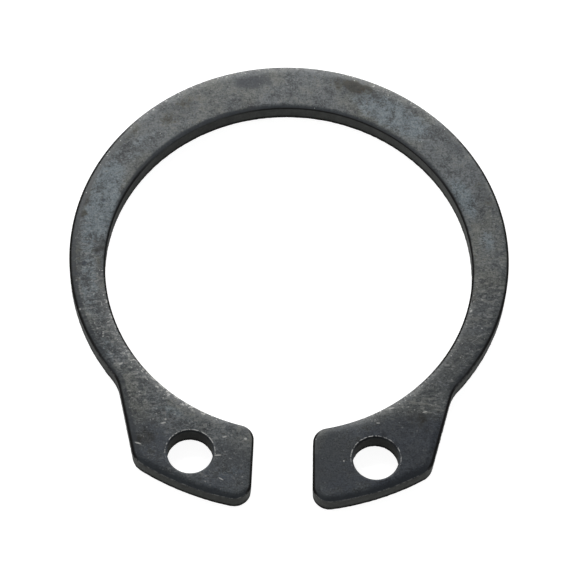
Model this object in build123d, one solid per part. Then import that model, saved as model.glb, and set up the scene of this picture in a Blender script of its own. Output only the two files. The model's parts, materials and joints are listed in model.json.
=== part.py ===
from build123d import *
import math
import os

# Retaining ring for a groove on a 20 mm shaft, stamped in one piece from spring-steel strip.
# It lies flat, in millimetres. The origin is on the bore axis at the underside, +Z runs up
# through the thickness, and the gap between the two lugs opens towards -Y.

# Strip and bore, free of the shaft
thickness = 1.0
free_bore_diameter = 18.5

# Band, widest opposite the gap and tapering towards both lugs
band_width_opposite_gap = 2.5
band_width_at_gap = 1.2

# Lugs and the gap between them
lug_height = 4.0
lug_spread = 14.65
lug_side_lean = 13
gap_at_bore = 2.9
gap_flank_lean = 1

# Round plier hole in each lug
plier_hole_diameter = 2.25
wall_outside_hole = 0.58
wall_gap_to_hole = 2.0

# Corner radii of the plan
shoulder_radius = 2
lug_side_corner_radius = 1
lug_gap_corner_radius = 0.85
bore_gap_corner_radius = 0.8

# Edge rolled over where the shearing began, on top: a steep foot, a shallow slope and a crown
roll_foot_width = 0.04
roll_foot_depth = 0.1
roll_slope_width = 0.28
roll_slope_depth = 0.065
roll_crown_radius = 0.9
hole_roll_radius = 0.09

# Edge left by tumbling where the shearing ended, underneath
underside_break = 0.04

# Places that follow from the sizes above
bore_radius = free_bore_diameter / 2
band_radius = bore_radius + (band_width_opposite_gap + band_width_at_gap) / 2
band_centre = Vector(0, (band_width_opposite_gap - band_width_at_gap) / 2)
lug_radius = bore_radius + lug_height
hole_radius = plier_hole_diameter / 2
hole_x = gap_at_bore / 2 + wall_gap_to_hole + hole_radius
hole_y = -math.sqrt((lug_radius - wall_outside_hole - hole_radius) ** 2 - hole_x**2)

# Two lengths closer than this are the same length
same = 1e-4


def mirrored_wedge(half_width, height, lean):
    """Face from the bore axis to well beyond the lugs, symmetric about the Y axis. Its flanks
    pass half_width from that axis at the given height and spread by lean degrees downwards."""
    below = -2 * lug_radius
    spread = math.tan(math.radians(lean))
    low_x = half_width + (height - below) * spread
    high_x = half_width + height * spread
    return make_face(Polyline((-low_x, below), (low_x, below), (high_x, 0), (-high_x, 0), close=True))


def lug_blank():
    """Both lugs in one, before bore and gap: a slice of disc with its two outer corners rounded."""
    corner_x = lug_spread / 2
    corner_y = -math.sqrt(lug_radius**2 - corner_x**2)
    blank = Circle(lug_radius) & mirrored_wedge(corner_x, corner_y, -lug_side_lean)
    side_corners = blank.vertices().sort_by(Axis.Y)[:2]
    return fillet(side_corners, lug_side_corner_radius)


def band_with_lugs():
    """The eccentric disc of the band, running into the lugs through a hollow at each shoulder."""
    blank = Pos(band_centre) * Circle(band_radius) + lug_blank()
    shoulders = [
        corner
        for corner in blank.vertices()
        if corner.Y < 0 and abs((Vector(corner) - band_centre).length - band_radius) < same
    ]
    return fillet(shoulders, shoulder_radius)


def gap_corners(outline):
    """The corners on the gap's two flanks, the two outermost first."""
    beside_gap = outline.vertices().filter_by(lambda corner: corner.Y < 0 and abs(corner.X) < hole_x)
    return beside_gap.sort_by(Axis.Y)


def ring_outline():
    """The stamped plan, with its bore, its gap and a plier hole in each lug."""
    gap = mirrored_wedge(gap_at_bore / 2, -bore_radius, gap_flank_lean)
    outline = band_with_lugs() - Circle(bore_radius) - gap
    outline = fillet(gap_corners(outline)[:2], lug_gap_corner_radius)
    outline = fillet(gap_corners(outline)[-2:], bore_gap_corner_radius)
    return outline - Locations((hole_x, hole_y), (-hole_x, hole_y)) * Circle(hole_radius)


def top_face(body):
    """The flat upper face, which shrinks as its edges are rolled over."""
    return body.faces().sort_by(Axis.Z)[-1]


def slope_outline_edge(body, width, depth):
    """Bevels the upper edge of the outline, width in across the top and depth down its flank."""
    top = top_face(body)
    return chamfer(top.outer_wire().edges(), width, depth, reference=top)


def retaining_ring():
    """The finished ring: the plan through its thickness, with its rolled and tumbled edges."""
    body = extrude(ring_outline(), thickness)
    body = slope_outline_edge(body, roll_foot_width, roll_foot_depth)
    body = slope_outline_edge(body, roll_slope_width, roll_slope_depth)
    body = fillet(top_face(body).outer_wire().edges(), roll_crown_radius)
    hole_rims = [edge for rim in top_face(body).inner_wires() for edge in rim.edges()]
    body = fillet(hole_rims, hole_roll_radius)
    underside = body.faces().sort_by(Axis.Z)[0]
    return chamfer(underside.edges(), underside_break)


os.makedirs("parts", exist_ok=True)
export_step(retaining_ring(), "parts/retaining_ring.step")
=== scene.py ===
"""An open retaining ring for a shaft, stamped from spring steel, tumbled and phosphated black.

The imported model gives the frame: lengths are in metres, +Z runs up through the strip, the bore axis
is the Z axis and the gap between the two lugs opens towards -Y. Blender adds the sheared and rolled
edges, the marks of tumbling and the mottled coat.
"""

from __future__ import annotations

import json
import logging
import math
from collections.abc import Callable, Iterable
from dataclasses import astuple, dataclass, field, fields
from enum import Enum, IntEnum
from typing import Any

import bmesh
import bpy
import numpy as np
from mathutils import Matrix, Vector, geometry, kdtree

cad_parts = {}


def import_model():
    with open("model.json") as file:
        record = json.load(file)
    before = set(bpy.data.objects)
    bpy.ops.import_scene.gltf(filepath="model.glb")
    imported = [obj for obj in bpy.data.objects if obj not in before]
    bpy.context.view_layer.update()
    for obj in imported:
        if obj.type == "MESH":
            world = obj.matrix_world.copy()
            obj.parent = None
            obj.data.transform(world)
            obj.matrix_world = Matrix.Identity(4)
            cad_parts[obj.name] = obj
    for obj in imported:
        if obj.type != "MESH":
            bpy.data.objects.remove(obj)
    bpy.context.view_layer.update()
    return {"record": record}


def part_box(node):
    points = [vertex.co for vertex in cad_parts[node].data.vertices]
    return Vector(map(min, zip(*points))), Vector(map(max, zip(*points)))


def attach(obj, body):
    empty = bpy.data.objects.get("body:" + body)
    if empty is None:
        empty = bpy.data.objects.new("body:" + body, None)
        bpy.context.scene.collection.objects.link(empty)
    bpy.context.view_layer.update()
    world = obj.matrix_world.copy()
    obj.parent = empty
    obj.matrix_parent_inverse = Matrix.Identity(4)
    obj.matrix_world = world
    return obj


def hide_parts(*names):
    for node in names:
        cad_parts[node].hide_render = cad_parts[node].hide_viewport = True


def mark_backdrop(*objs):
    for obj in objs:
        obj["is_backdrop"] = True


MM = 0.001
NODE = "retaining_ring"
BODY = "root"
FULL_ROLL = 1.0
UNIT_SPAN = (0.0, 1.0)

Socket = bpy.types.NodeSocket
Colour = tuple[float, float, float]
Span = tuple[float, float]
Margin = Callable[[Any], Any]

log = logging.getLogger("retaining_ring")


def unit(vector: np.ndarray) -> np.ndarray:
    """The vector at a length of one."""
    return vector / np.hypot(*vector)


def soft_step(value: Any, span: Span) -> np.ndarray:
    """0 before the span's start, 1 past its end and a soft change between. It may run downwards."""
    start, end = span
    held = np.clip((value - start) / (end - start), 0.0, 1.0)
    return held * held * (3.0 - 2.0 * held)


# The plan that the die cuts


class Metal(IntEnum):
    """Which side of an arc the metal lies on."""

    INSIDE = 1
    OUTSIDE = -1


@dataclass(frozen=True)
class Arc:
    """A round stretch of the plan, walked with the metal on the right hand.

    It runs from the direction start to the direction end, seen from its centre. A straight stretch
    is the tangent from one arc's end to the next one's start. Its edge takes a share of the full roll.
    """

    centre: np.ndarray
    radius: float
    start: np.ndarray
    end: np.ndarray
    metal: Metal
    roll: float

    def walk(self, step: float) -> list[tuple[np.ndarray, np.ndarray]]:
        """Both ends and the points between them.

        Args:
            step: the longest distance from one point to the next.

        Returns:
            Each point with the direction that leaves the metal there.
        """
        first = math.atan2(self.start[1], self.start[0])
        last = math.atan2(self.end[1], self.end[0])
        turned = (last - first) % math.tau
        if self.metal is Metal.INSIDE:
            turned -= math.tau
        count = max(2, math.ceil(abs(turned) * self.radius / step))
        stations = []
        for i in range(count + 1):
            angle = first + turned * i / count
            away = np.array((math.cos(angle), math.sin(angle)))
            stations.append((self.centre + self.radius * away, away * int(self.metal)))
        return stations


class LoopKind(Enum):
    """What a closed edge of the plan goes round."""

    OUTLINE = "outline"
    HOLE = "hole"


@dataclass(frozen=True)
class Loop:
    """A closed edge of the plan: points, the directions that leave the metal and shares of the roll."""

    kind: LoopKind
    name: str
    points: np.ndarray
    outward: np.ndarray
    roll: np.ndarray


@dataclass(frozen=True)
class StampedPlan:
    """An eccentric band that tapers into two lugs, with its bore, its gap and two plier holes."""

    thickness: float
    bore_radius: float
    band_radius: float
    band_centre: np.ndarray
    hole_radius: float
    hole_centre: np.ndarray
    wall_outside_hole: float = 0.58 * MM
    lug_spread: float = 14.65 * MM
    lug_side_lean: float = math.radians(13.0)
    gap_at_bore: float = 2.9 * MM
    gap_flank_lean: float = math.radians(1.0)
    shoulder_radius: float = 2.0 * MM
    side_corner_radius: float = 1.0 * MM
    gap_corner_radius: float = 0.85 * MM
    bore_corner_radius: float = 0.8 * MM
    band_roll: float = 0.8
    bore_roll: float = 0.5
    roll_easing: float = 0.8 * MM
    rounding: float = 0.4

    @classmethod
    def from_frame(cls, record: dict[str, Any]) -> StampedPlan:
        """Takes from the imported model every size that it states.

        Args:
            record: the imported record, whose mounts hold the bore and the plier holes.

        Returns:
            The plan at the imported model's size and place.
        """
        low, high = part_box(NODE)
        mounts = {mount["name"]: mount for mount in record["mounts"]}
        hole = mounts["plier_hole_right"]
        band_radius = (high.x - low.x) / 2
        return cls(
            thickness=high.z - low.z,
            bore_radius=mounts["shaft_seat"]["dims"]["r_mm"] * MM,
            band_radius=band_radius,
            band_centre=np.array((0.0, high.y - band_radius)),
            hole_radius=hole["dims"]["r_mm"] * MM,
            hole_centre=np.array(hole["pos_m"][:2]),
        )

    @property
    def lug_radius(self) -> float:
        """From the bore axis to the far edge of the lugs."""
        return float(np.hypot(*self.hole_centre)) + self.hole_radius + self.wall_outside_hole

    def insets(self, places: np.ndarray, step: float) -> tuple[np.ndarray, np.ndarray]:
        """How far in from the outline each place lies, below zero outside the metal.

        Args:
            places: points of the plan.
            step: how closely the outline is followed.

        Returns:
            One distance for each point, with no regard to the holes, and the share of the roll there.
        """
        outline = self.outline(step)
        tree = kdtree.KDTree(len(outline.points))
        for i, point in enumerate(outline.points):
            tree.insert((*point, 0.0), i)
        tree.balance()
        nearest = [tree.find((*place, 0.0)) for place in places]
        found = [i for _, i, _ in nearest]
        outwards = np.sum((places - outline.points[found]) * outline.outward[found], axis=1)
        return np.array([distance for _, _, distance in nearest]) * -np.sign(outwards), outline.roll[found]

    def hole_gaps(self, places: np.ndarray) -> np.ndarray:
        """How far each place lies from the wall of the nearer plier hole, below zero inside it."""
        offset = np.abs(places[:, 0]) - self.hole_centre[0], places[:, 1] - self.hole_centre[1]
        return np.hypot(*offset) - self.hole_radius

    @staticmethod
    def corner(
        about: np.ndarray, reach: float, beside: np.ndarray, along: np.ndarray, near: np.ndarray
    ) -> np.ndarray:
        """The centre of a rounded corner between an arc and a straight edge.

        Args:
            about: the arc's centre.
            reach: from there to the corner's centre.
            beside: a point on the line that keeps the corner's radius from the straight edge.
            along: that line's direction.
            near: a point close to the wanted corner, because the line meets the circle twice.

        Returns:
            The centre.
        """
        offset = beside - about
        half = offset @ along
        root = math.sqrt(half * half - offset @ offset + reach * reach)
        crossings = (beside - along * (half + root), beside - along * (half - root))
        return min(crossings, key=lambda crossing: np.hypot(*(crossing - near)))

    def right_half(self) -> list[Arc]:
        """The arcs from the back of the band, round the right lug, to the back of the bore."""
        axis = np.zeros(2)
        back = np.array((0.0, 1.0))
        corner_x = self.lug_spread / 2
        lug_corner = np.array((corner_x, -math.sqrt(self.lug_radius**2 - corner_x**2)))
        up_side = np.array((math.sin(self.lug_side_lean), math.cos(self.lug_side_lean)))
        off_side = np.array((up_side[1], -up_side[0]))
        flank = np.array((self.gap_at_bore / 2, -self.bore_radius))
        down_flank = np.array((math.sin(self.gap_flank_lean), -math.cos(self.gap_flank_lean)))
        off_flank = np.array((down_flank[1], -down_flank[0]))

        shoulder = self.corner(
            self.band_centre,
            self.band_radius + self.shoulder_radius,
            lug_corner + off_side * self.shoulder_radius,
            up_side,
            near=np.array((self.band_radius, lug_corner[1] / 2)),
        )
        side = self.corner(
            axis,
            self.lug_radius - self.side_corner_radius,
            lug_corner - off_side * self.side_corner_radius,
            up_side,
            near=lug_corner,
        )
        low = self.corner(
            axis,
            self.lug_radius - self.gap_corner_radius,
            flank - off_flank * self.gap_corner_radius,
            down_flank,
            near=lug_corner,
        )
        high = self.corner(
            axis,
            self.bore_radius + self.bore_corner_radius,
            flank - off_flank * self.bore_corner_radius,
            down_flank,
            near=flank,
        )
        to_shoulder = unit(shoulder - self.band_centre)
        return [
            Arc(self.band_centre, self.band_radius, back, to_shoulder, Metal.INSIDE, self.band_roll),
            Arc(shoulder, self.shoulder_radius, -to_shoulder, -off_side, Metal.OUTSIDE, self.band_roll),
            Arc(side, self.side_corner_radius, off_side, unit(side), Metal.INSIDE, FULL_ROLL),
            Arc(axis, self.lug_radius, unit(side), unit(low), Metal.INSIDE, FULL_ROLL),
            Arc(low, self.gap_corner_radius, unit(low), off_flank, Metal.INSIDE, self.band_roll),
            Arc(high, self.bore_corner_radius, off_flank, -unit(high), Metal.INSIDE, self.bore_roll),
            Arc(axis, self.bore_radius, unit(high), back, Metal.OUTSIDE, self.bore_roll),
        ]

    def outline(self, step: float) -> Loop:
        """The band's edge, the lugs and the bore in one loop, because the gap joins them.

        Args:
            step: the longest distance from one point to the next.

        Returns:
            The loop, mirrored about the Y axis.
        """
        stations = [(*station, arc.roll) for arc in self.right_half() for station in arc.walk(step)]
        walked = [stations[0]]
        for place, away, roll in stations[1:]:
            last, _, last_roll = walked[-1]
            count = round(float(np.hypot(*(place - last))) / step + self.rounding)
            for i in range(1, count + 1):
                share = i / count
                walked.append((last + (place - last) * share, away, last_roll + (roll - last_roll) * share))
        right, right_outward, right_roll = (np.array(column) for column in zip(*walked))
        mirror = np.array((-1.0, 1.0))
        roll = np.concatenate((right_roll, right_roll[-2:0:-1]))
        reach = round(self.roll_easing / step)
        around = np.arange(-reach, reach + 1)
        return Loop(
            LoopKind.OUTLINE,
            "outline",
            np.concatenate((right, right[-2:0:-1] * mirror)),
            np.concatenate((right_outward, right_outward[-2:0:-1] * mirror)),
            np.mean([np.roll(roll, shift) for shift in around], axis=0),
        )

    def holes(self, step: float) -> list[Loop]:
        """The two plier holes.

        Args:
            step: the longest distance from one point to the next.

        Returns:
            The right hole and the left one.
        """
        count = math.ceil(math.tau * self.hole_radius / step)
        angles = np.arange(count) * math.tau / count
        spokes = np.stack((np.cos(angles), np.sin(angles)), axis=1)
        rolls = np.full(count, FULL_ROLL)
        loops = []
        for name, side in (("right", 1.0), ("left", -1.0)):
            points = self.hole_centre * (side, 1.0) + self.hole_radius * spokes
            loops.append(Loop(LoopKind.HOLE, f"{name}_hole", points, -spokes, rolls))
        return loops


# The edge that shearing and tumbling leave


@dataclass(frozen=True)
class SectionPoint:
    """A point of an edge's section: how far in from the wall, how far below the top, and what it is."""

    inset: float
    depth: float
    roll: float = 0.0
    crease: float = 0.0
    flank: float = 0.0
    fracture: float = 0.0
    # Painted shade that darkens the foot of the wall, where the ring meets the floor
    foot_shade: float = 0.0


@dataclass(frozen=True)
class ShearedEdge:
    """The section of a sheared edge, from the top face down the wall to the underside.

    The top is drawn down in a roll that ends at a crease. Below it the wall is burnished, then
    fractured, and its foot is broken by tumbling.
    """

    roll_width: float = 0.46 * MM
    roll_depth: float = 0.105 * MM
    roll_power: float = 1.8
    least_spread: float = 0.4
    crease_inset: float = 0.028 * MM
    crease_height: float = 0.05 * MM
    crease_power: int = 12
    crease_shares: tuple[float, ...] = (0.35, 0.75)
    wall_crease: float = 0.5
    burnish_depth: float = 0.45 * MM
    fracture_setback: float = 0.008 * MM
    fracture_gain: float = 3.0
    foot_radius: float = 0.03 * MM
    # Painted shade towards the foot of the wall
    foot_shade_height: float = 0.25 * MM
    foot_shade_gain: float = 1.5
    roll_rows: int = 12
    row_power: float = 1.5
    wall_rows: int = 9
    foot_rows: int = 4

    def spread(self, roll: Any) -> Any:
        """The share of the roll's width that is left at a share of its depth."""
        return self.least_spread + (1 - self.least_spread) * roll

    def margin(self, is_top: bool) -> Margin:
        """How far in from the wall the flat face begins, for a share of the roll."""
        if is_top:
            return lambda roll: self.crease_inset + (self.roll_width - self.crease_inset) * self.spread(roll)
        return lambda roll: self.fracture_setback + self.foot_radius

    def roll_points(self) -> list[SectionPoint]:
        """The roll, in rows that lie closer together away from the crease."""
        points = []
        for i in range(self.roll_rows + 1):
            fall = 1 - (1 - i / self.roll_rows) ** self.row_power
            inset = self.roll_width - (self.roll_width - self.crease_inset) * fall
            depth = self.roll_depth * fall**self.roll_power
            points.append(SectionPoint(inset, depth, roll=fall, crease=fall**self.crease_power))
        return points

    def crease_points(self) -> list[SectionPoint]:
        """The round between the roll and the wall."""
        points = []
        for share in self.crease_shares:
            angle = share * math.pi / 2
            inset = self.crease_inset * (1 - math.sin(angle))
            depth = self.roll_depth + self.crease_height * (1 - math.cos(angle))
            points.append(SectionPoint(inset, depth, roll=1 - share, crease=1.0, flank=share))
        return points

    def wall_points(self, foot: float) -> list[SectionPoint]:
        """The burnished wall and the fractured one, which leans in a little.

        Args:
            foot: how deep the wall ends.

        Returns:
            The points, from the crease down to just above the foot.
        """
        top = self.roll_depth + self.crease_height
        points = []
        for i in range(self.wall_rows):
            depth = top + (foot - top) * i / self.wall_rows
            torn = max(0.0, (depth - self.burnish_depth) / (foot - self.burnish_depth))
            # Painted shade, darkest at the foot of the wall
            foot_shade = self.foot_shade_gain * (1 - (foot - depth) / self.foot_shade_height)
            point = SectionPoint(
                self.fracture_setback * torn,
                depth,
                crease=0.0 if i else self.wall_crease,
                flank=1.0,
                fracture=min(1.0, torn * self.fracture_gain),
                foot_shade=min(1.0, max(0.0, foot_shade)),
            )
            points.append(point)
        return points

    def foot_points(self, foot: float) -> list[SectionPoint]:
        """The small round that tumbling leaves at the foot.

        Args:
            foot: how deep the wall ends.

        Returns:
            The points, from the wall to the underside.
        """
        points = []
        for i in range(self.foot_rows + 1):
            angle = i / self.foot_rows * math.pi / 2
            inset = self.fracture_setback + self.foot_radius * (1 - math.cos(angle))
            depth = foot + self.foot_radius * math.sin(angle)
            upright = math.cos(angle)
            # The foot's round is painted dark as shade
            points.append(SectionPoint(inset, depth, flank=upright, fracture=upright, foot_shade=upright))
        return points

    def section(self, thickness: float) -> np.recarray:
        """The whole section.

        Args:
            thickness: of the strip.

        Returns:
            One row for each point, from the top face to the underside, with SectionPoint's fields.
        """
        foot = thickness - self.foot_radius
        points = self.roll_points() + self.crease_points() + self.wall_points(foot) + self.foot_points(foot)
        names = [column.name for column in fields(SectionPoint)]
        return np.rec.fromrecords([astuple(point) for point in points], names=names)


# Node trees


class MixSocket(IntEnum):
    """Where a Mix node's colour sockets stand, because their names are used more than once."""

    SHARE = 0
    FIRST = 6
    SECOND = 7
    RESULT = 2


class RandomSocket(IntEnum):
    """Where a Random Value node's float sockets stand, for the same reason."""

    LEAST = 2
    MOST = 3
    RESULT = 1


class Bench:
    """Puts nodes into a tree, joins them and keeps the calls short."""

    def __init__(self, tree: bpy.types.NodeTree) -> None:
        """Clears the tree.

        Args:
            tree: a shader, world or geometry node tree.
        """
        self.tree = tree
        tree.nodes.clear()

    def node(self, kind: str, inputs: dict[str | int, Any] | None = None, **settings: Any) -> bpy.types.Node:
        """Adds a node.

        Args:
            kind: the node's type name.
            inputs: sockets to join or values to set, by socket name or number.
            **settings: the node's own settings.

        Returns:
            The node.
        """
        node = self.tree.nodes.new(kind)
        for name, value in settings.items():
            setattr(node, name, value)
        for key, value in (inputs or {}).items():
            if isinstance(value, Socket):
                self.tree.links.new(value, node.inputs[key])
            else:
                node.inputs[key].default_value = value
        return node

    def maths(self, operation: str, *values: Any, clamp: bool = False) -> Socket:
        """A Math node's result."""
        inputs = dict(enumerate(values))
        return self.node("ShaderNodeMath", inputs, operation=operation, use_clamp=clamp).outputs[0]

    def product(self, *values: Any) -> Socket:
        """All the values multiplied."""
        result = values[0]
        for value in values[1:]:
            result = self.maths("MULTIPLY", result, value)
        return result

    def total(self, *values: Any) -> Socket:
        """All the values added."""
        result = values[0]
        for value in values[1:]:
            result = self.maths("ADD", result, value)
        return result

    def ramp(self, value: Any, span: Span, tones: tuple[Any, Any] = UNIT_SPAN) -> Socket:
        """A soft step in a node tree.

        Args:
            value: what it follows.
            span: where it starts and ends. It may run downwards.
            tones: the result before its start and past its end.

        Returns:
            The result.
        """
        (start, low), (end, high) = sorted(zip(span, tones), key=lambda stop: stop[0])
        inputs = {"Value": value, "From Min": start, "From Max": end, "To Min": low, "To Max": high}
        return self.node("ShaderNodeMapRange", inputs, interpolation_type="SMOOTHSTEP").outputs[0]

    def attribute(self, name: str) -> Socket:
        """A float attribute of the mesh, in a shader tree."""
        return self.node("ShaderNodeAttribute", attribute_name=name).outputs["Fac"]

    def blend(self, share: Any, first: Any, second: Any, how: str = "MIX") -> Socket:
        """One colour mixed into another."""
        node = self.node("ShaderNodeMix", data_type="RGBA", blend_type=how)
        inputs = {MixSocket.SHARE: share, MixSocket.FIRST: first, MixSocket.SECOND: second}
        for key, value in inputs.items():
            if isinstance(value, Socket):
                self.tree.links.new(value, node.inputs[key])
            else:
                node.inputs[key].default_value = (*value, 1.0) if isinstance(value, tuple) else value
        return node.outputs[MixSocket.RESULT]

    def stretched(self, place: Socket, scale: tuple[float, float, float], turn: float = 0.0) -> Socket:
        """The coordinates scaled, and turned about Z, in a shader tree."""
        inputs = {"Vector": place, "Rotation": (0.0, 0.0, turn), "Scale": scale}
        return self.node("ShaderNodeMapping", inputs).outputs[0]


@dataclass(frozen=True)
class Noise:
    """A noise in a shader tree: the size of its features in metres, and the layers within them."""

    size: float
    detail: float
    roughness: float = 0.5
    distortion: float = 0.0

    def at(self, bench: Bench, place: Socket) -> Socket:
        """The noise there, from 0 to 1 about a middle of 0.5."""
        inputs = {
            "Vector": place,
            "Scale": 1 / self.size,
            "Detail": self.detail,
            "Roughness": self.roughness,
            "Distortion": self.distortion,
        }
        return bench.node("ShaderNodeTexNoise", inputs).outputs[0]


@dataclass(frozen=True)
class Dots:
    """Small dots in a shader tree, one in each chosen cell. Their radius is a share of the cell."""

    gap: float
    share: float
    radius: float
    fade: Span = (1.25, 0.75)
    choice_edge: float = 0.01
    least_strength: float = 0.3

    def at(self, bench: Bench, place: Socket) -> Socket:
        """The dots at the given coordinates.

        Args:
            bench: the material's nodes.
            place: the coordinates.

        Returns:
            Up to 1 in a dot and 0 elsewhere.
        """
        cells = bench.node("ShaderNodeTexVoronoi", {"Vector": place, "Scale": 1 / self.gap}).outputs
        chance = bench.node("ShaderNodeSeparateColor", {0: cells["Color"]}).outputs
        reach = bench.maths("MULTIPLY_ADD", chance["Green"], self.radius, self.radius / 2)
        dot = bench.ramp(bench.maths("DIVIDE", cells["Distance"], reach), self.fade)
        chosen = bench.ramp(chance["Red"], (1 - self.share - self.choice_edge, 1 - self.share))
        least = self.least_strength
        strength = bench.maths("MULTIPLY_ADD", chance["Blue"], 1 - least, least)
        return bench.product(dot, chosen, strength)


@dataclass
class TreeInput:
    """A named input of a geometry tree."""

    name: str
    kind: str
    value: Any


class GeometryTree:
    """A geometry node tree with named inputs, and the modifier that runs it once."""

    def __init__(self, name: str, inputs: Iterable[TreeInput]) -> None:
        """Makes the tree's sockets.

        Args:
            name: of the tree.
            inputs: the named inputs, with the values that they take here.
        """
        self.tree = bpy.data.node_groups.new(name, "GeometryNodeTree")
        self.bench = Bench(self.tree)
        self.given = list(inputs)
        self.tree.interface.new_socket("Geometry", in_out="INPUT", socket_type="NodeSocketGeometry")
        self.tree.interface.new_socket("Geometry", in_out="OUTPUT", socket_type="NodeSocketGeometry")
        self.identifiers = {given.name: self.add_input(given) for given in self.given}
        self.source = self.bench.node("NodeGroupInput")

    def add_input(self, given: TreeInput) -> str:
        """Adds a named input and gives its identifier."""
        socket = self.tree.interface.new_socket(given.name, in_out="INPUT", socket_type=given.kind)
        return socket.identifier

    def named(self, name: str) -> Socket:
        """The socket of a named input."""
        return self.source.outputs[name]

    def stored(self, name: str) -> Socket:
        """A float attribute that the mesh already has."""
        node = self.bench.node("GeometryNodeInputNamedAttribute", {"Name": name}, data_type="FLOAT")
        return node.outputs[0]

    def finish(self, shape: Socket) -> None:
        """Ends the tree in Realize Instances and Set Material.

        Args:
            shape: the geometry so far.
        """
        real = self.bench.node("GeometryNodeRealizeInstances", {"Geometry": shape})
        dressed = self.bench.node(
            "GeometryNodeSetMaterial", {"Geometry": real.outputs[0], "Material": self.named("Material")}
        )
        self.bench.node("NodeGroupOutput", {"Geometry": dressed.outputs[0]})

    def run(self, obj: bpy.types.Object) -> bpy.types.Mesh:
        """Runs the tree on an object and takes the result as a plain mesh.

        Args:
            obj: a mesh or curve object, which loses the modifier again.

        Returns:
            The new mesh.
        """
        modifier = obj.modifiers.new(self.tree.name, "NODES")
        modifier.node_group = self.tree
        for given in self.given:
            modifier[self.identifiers[given.name]] = given.value
        bpy.context.view_layer.update()
        graph = bpy.context.evaluated_depsgraph_get()
        evaluated = obj.evaluated_get(graph)
        mesh = bpy.data.meshes.new_from_object(evaluated, preserve_all_data_layers=True, depsgraph=graph)
        obj.modifiers.remove(modifier)
        return mesh


def drawn_curve(name: str, points: Iterable[tuple[float, float, float]], closed: bool) -> bpy.types.Object:
    """A curve object of straight runs.

    Args:
        name: of the object.
        points: its corners.
        closed: whether the last one joins the first.

    Returns:
        The object, in the scene.
    """
    corners = list(points)
    curve = bpy.data.curves.new(name, "CURVE")
    curve.dimensions = "3D"
    spline = curve.splines.new("POLY")
    spline.points.add(len(corners) - 1)
    spline.points.foreach_set("co", [value for corner in corners for value in (*corner, 1.0)])
    spline.use_cyclic_u = closed
    obj = bpy.data.objects.new(name, curve)
    bpy.context.scene.collection.objects.link(obj)
    return obj


def vertex_places(mesh: bpy.types.Mesh) -> np.ndarray:
    """Where a mesh's vertices lie, in one row for each.

    Args:
        mesh: any mesh.

    Returns:
        The places, which can be changed without changing the mesh.
    """
    places = np.empty((len(mesh.vertices), len(Vector())), np.float32)
    mesh.vertices.foreach_get("co", places.ravel())
    return places


@dataclass(frozen=True)
class EdgeSweep:
    """Sweeps an edge's section along a loop of the plan."""

    edge: ShearedEdge
    thickness: float
    least_inset: float = 1e-6 * MM

    def tree(self, section: bpy.types.Object, material: bpy.types.Material) -> GeometryTree:
        """The tree that sweeps.

        Args:
            section: the curve of the section.
            material: the finish.

        Returns:
            The tree, whose mesh holds one whole section after the other.
        """
        made = GeometryTree(
            "sheared_edge",
            (
                TreeInput("Section", "NodeSocketObject", section),
                TreeInput("Material", "NodeSocketMaterial", material),
            ),
        )
        bench = made.bench
        path = {"Curve": made.source.outputs["Geometry"]}
        upright = bench.node("GeometryNodeSetCurveNormal", path, mode="Z_UP")
        profile = bench.node("GeometryNodeObjectInfo", {"Object": made.named("Section")})
        curves = {"Curve": upright.outputs[0], "Profile Curve": profile.outputs["Geometry"]}
        made.finish(bench.node("GeometryNodeCurveToMesh", curves).outputs[0])
        return made

    def sweep(self, loop: Loop, material: bpy.types.Material) -> bpy.types.Mesh:
        """The wall and the rolled edge along one loop.

        Args:
            loop: of the plan.
            material: the finish.

        Returns:
            A strip that is open at the top face and the underside.
        """
        section = self.edge.section(self.thickness)
        corners = [(inset, depth, 0.0) for inset, depth in zip(section.inset, section.depth)]
        profile = drawn_curve(f"{loop.name}_section", corners, closed=False)
        path = drawn_curve(loop.name, [(x, y, self.thickness) for x, y in loop.points], closed=True)
        mesh = self.tree(profile, material).run(path)
        for used in (profile, path):
            bpy.data.objects.remove(used)
        self.ease(mesh, loop, section)
        return mesh

    def ease(self, mesh: bpy.types.Mesh, loop: Loop, section: np.recarray) -> None:
        """Narrows and lifts the roll where the loop takes only a share of it.

        Args:
            mesh: the swept strip.
            loop: that it follows.
            section: that was swept.
        """
        edge = self.edge
        places = vertex_places(mesh).reshape(len(loop.points), len(section), -1)
        share = loop.roll[:, None]
        narrowed = edge.crease_inset + (section.inset - edge.crease_inset) * edge.spread(share)
        eased = np.where(np.arange(len(section)) <= edge.roll_rows, narrowed, section.inset)
        stretch = eased / np.maximum(section.inset, self.least_inset)
        path = loop.points[:, None, :]
        places[..., :2] = path + (places[..., :2] - path) * stretch[..., None]
        below_roll = (section.depth - edge.roll_depth) / (edge.burnish_depth - edge.roll_depth)
        kept = share + (1 - share) * np.clip(below_roll, 0.0, 1.0)
        places[..., 2] = self.thickness - section.depth * kept
        mesh.vertices.foreach_set("co", places.ravel())


# The marks of tumbling and handling


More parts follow.
